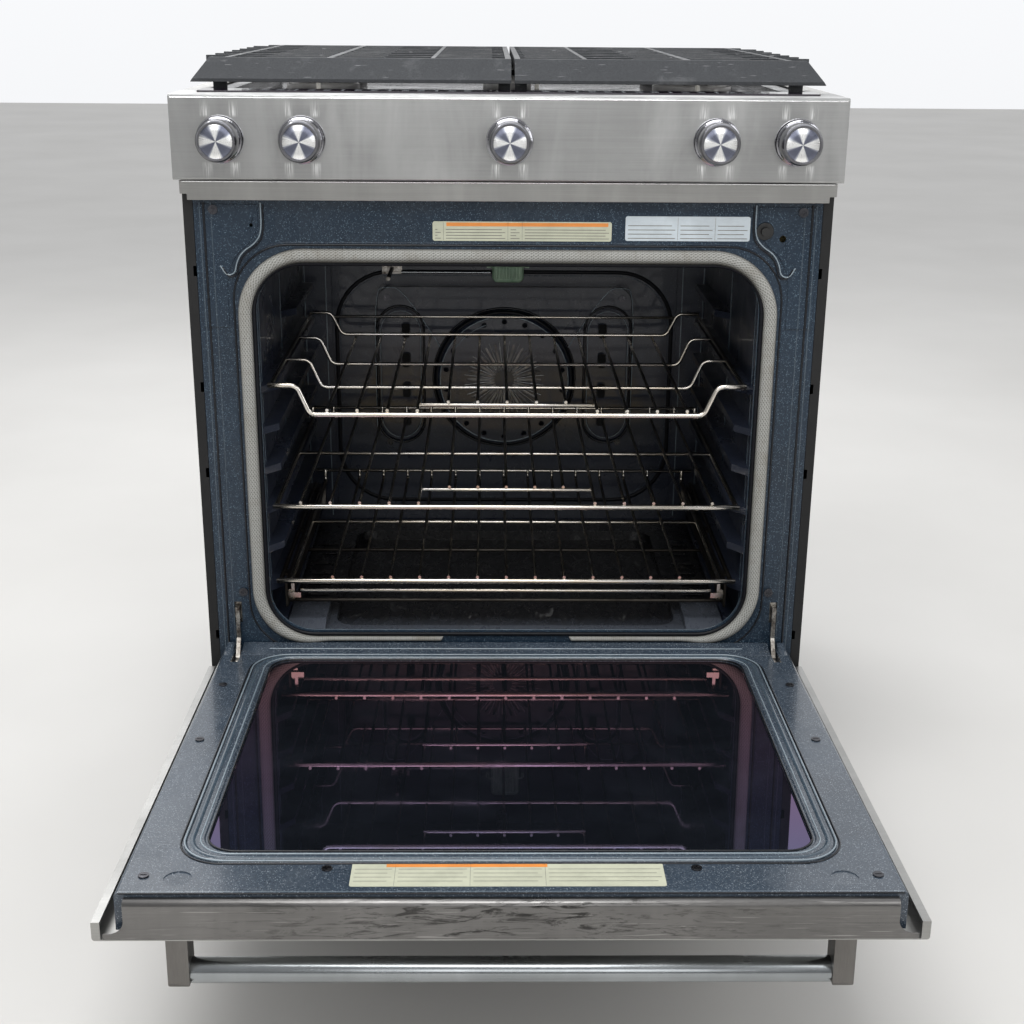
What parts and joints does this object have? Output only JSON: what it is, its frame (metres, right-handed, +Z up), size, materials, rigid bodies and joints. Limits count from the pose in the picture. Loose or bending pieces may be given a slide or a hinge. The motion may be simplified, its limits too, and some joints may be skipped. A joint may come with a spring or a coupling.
{
  "type": "freestanding gas range",
  "caption": "Gas range with an open drop-down oven door, sliding wire racks, turning knobs, lift-off cast grates and a storage drawer.",
  "frame": {"origin": "floor level, centre of the whole footprint with the oven door open", "axes": "+Z up, +Y towards the back of the range, +X to the right of a person facing it"},
  "size_m": [0.764, 1.2346, 0.944],
  "materials": {
    "stainless": "brushed",
    "black_side": "satin",
    "frame_enamel": "speckled gloss enamel",
    "cavity_enamel": "gloss enamel",
    "cooktop_enamel": "gloss enamel",
    "galvanised": "spangled zinc",
    "cast_iron": "matte enamelled iron",
    "rack_wire": "nickel plated",
    "bright_chrome": "polished",
    "knob_metal": "turned",
    "dark_glass": "tinted",
    "control_glass": "tinted",
    "lamp_glass": "clear",
    "gasket_weave": "woven glass fibre",
    "mineral_wool": "wool blanket",
    "black_plastic": "moulded",
    "zinc_screw": "zinc",
    "burner_aluminium": "cast",
    "brass": "machined",
    "ceramic": "sintered",
    "hinge_steel": "stamped"
  },
  "bodies": {
    "range_body": {"base_pan": "galvanised", "levelling_feet": "hinge_steel", "side_panels": "black_side", "rear_cover": "galvanised", "power_inlet": "black_plastic", "front_frame": "frame_enamel", "door_gasket": "gasket_weave", "oven_liner": "cavity_enamel", "oven_floor_panel": "cavity_enamel", "oven_insulation": "mineral_wool", "fan_cover": "cavity_enamel", "fan_motor": "galvanised", "broil_burner": "hinge_steel", "bake_burner": "hinge_steel", "oven_lamp": "lamp_glass", "temperature_probe": "hinge_steel", "control_panel": "stainless", "vent_trim": "stainless", "touch_glass": "control_glass", "knob_bezels": "bright_chrome", "gas_valves": "brass", "gas_manifold": "hinge_steel", "cooktop": "cooktop_enamel", "deck_trim": "stainless", "burner_heads": "burner_aluminium", "burner_caps": "cooktop_enamel", "burner_electrodes": "ceramic", "door_switch_bezel": "black_plastic", "hinge_arms": "hinge_steel", "drawer_rails": "galvanised", "rollout_base": "rack_wire", "body_screws": "zinc_screw"},
    "oven_door": {"door_outer_skin": "stainless", "door_inner_panel": "frame_enamel", "door_glass_panes": "dark_glass", "door_insulation": "mineral_wool", "door_end_trim": "stainless", "door_hinge_channels": "galvanised", "handle_bar": "stainless", "handle_brackets": "stainless", "door_screws": "zinc_screw"},
    "storage_drawer": {"drawer_front": "stainless", "drawer_box": "galvanised"},
    "top_rack": {"rack_top": "rack_wire"},
    "middle_rack": {"rack_middle": "rack_wire"},
    "sliding_shelf": {"rollout_shelf": "rack_wire"},
    "left_grate": {"grate_left": "cast_iron"},
    "right_grate": {"grate_right": "cast_iron"},
    "fan": {"convection_fan": "burner_aluminium"},
    "lamp_switch": {"door_switch_plunger": "black_plastic"},
    "stem_1": {"valve_stem_1": "brass"},
    "knob_body_1": {"knob_1": "knob_metal"},
    "stem_2": {"valve_stem_2": "brass"},
    "knob_body_2": {"knob_2": "knob_metal"},
    "stem_3": {"valve_stem_3": "brass"},
    "knob_body_3": {"knob_3": "knob_metal"},
    "stem_4": {"valve_stem_4": "brass"},
    "knob_body_4": {"knob_4": "knob_metal"},
    "stem_5": {"valve_stem_5": "brass"},
    "knob_body_5": {"knob_5": "knob_metal"}
  },
  "joints": [
    {"name": "door_hinge", "type": "hinge", "parent": "range_body", "child": "oven_door", "pos_m": [0, -0.04418, 0.2115], "axis": [1, 0, 0], "range_deg": [-88, 0]},
    {"name": "drawer_slide", "type": "slide", "parent": "range_body", "child": "storage_drawer", "axis": [0, -1, 0], "range_m": [0, 0.38]},
    {"name": "top_rack_slide", "type": "slide", "parent": "range_body", "child": "top_rack", "axis": [0, -1, 0], "range_m": [0, 0.35]},
    {"name": "middle_rack_slide", "type": "slide", "parent": "range_body", "child": "middle_rack", "axis": [0, -1, 0], "range_m": [0, 0.35]},
    {"name": "shelf_slide", "type": "slide", "parent": "range_body", "child": "sliding_shelf", "axis": [0, -1, 0], "range_m": [0, 0.35]},
    {"name": "left_grate_lift", "type": "slide", "parent": "range_body", "child": "left_grate", "axis": [0, 0, 1], "range_m": [0, 0.15]},
    {"name": "right_grate_lift", "type": "slide", "parent": "range_body", "child": "right_grate", "axis": [0, 0, 1], "range_m": [0, 0.15]},
    {"name": "fan_spin", "type": "hinge", "parent": "range_body", "child": "fan", "pos_m": [0, 0.47132, 0.46], "axis": [0, -1, 0], "continuous": true},
    {"name": "switch_press", "type": "slide", "parent": "range_body", "child": "lamp_switch", "axis": [0, 1, 0], "range_m": [0, 0.005], "stiffness_N_per_m": 200, "springref_m": -0.002},
    {"name": "knob_turn_1", "type": "hinge", "parent": "range_body", "child": "stem_1", "pos_m": [-0.326, -0.04868, 0.859], "axis": [0, -1, 0], "range_deg": [0, 240]},
    {"name": "knob_push_1", "type": "slide", "parent": "stem_1", "child": "knob_body_1", "axis": [0, 1, 0], "range_m": [0, 0.003], "stiffness_N_per_m": 400, "springref_m": -0.002},
    {"name": "knob_turn_2", "type": "hinge", "parent": "range_body", "child": "stem_2", "pos_m": [-0.234, -0.04868, 0.859], "axis": [0, -1, 0], "range_deg": [0, 240]},
    {"name": "knob_push_2", "type": "slide", "parent": "stem_2", "child": "knob_body_2", "axis": [0, 1, 0], "range_m": [0, 0.003], "stiffness_N_per_m": 400, "springref_m": -0.002},
    {"name": "knob_turn_3", "type": "hinge", "parent": "range_body", "child": "stem_3", "pos_m": [0, -0.04868, 0.859], "axis": [0, -1, 0], "range_deg": [0, 240]},
    {"name": "knob_push_3", "type": "slide", "parent": "stem_3", "child": "knob_body_3", "axis": [0, 1, 0], "range_m": [0, 0.003], "stiffness_N_per_m": 400, "springref_m": -0.002},
    {"name": "knob_turn_4", "type": "hinge", "parent": "range_body", "child": "stem_4", "pos_m": [0.234, -0.04868, 0.859], "axis": [0, -1, 0], "range_deg": [0, 240]},
    {"name": "knob_push_4", "type": "slide", "parent": "stem_4", "child": "knob_body_4", "axis": [0, 1, 0], "range_m": [0, 0.003], "stiffness_N_per_m": 400, "springref_m": -0.002},
    {"name": "knob_turn_5", "type": "hinge", "parent": "range_body", "child": "stem_5", "pos_m": [0.326, -0.04868, 0.859], "axis": [0, -1, 0], "range_deg": [0, 240]},
    {"name": "knob_push_5", "type": "slide", "parent": "stem_5", "child": "knob_body_5", "axis": [0, 1, 0], "range_m": [0, 0.003], "stiffness_N_per_m": 400, "springref_m": -0.002}
  ]
}
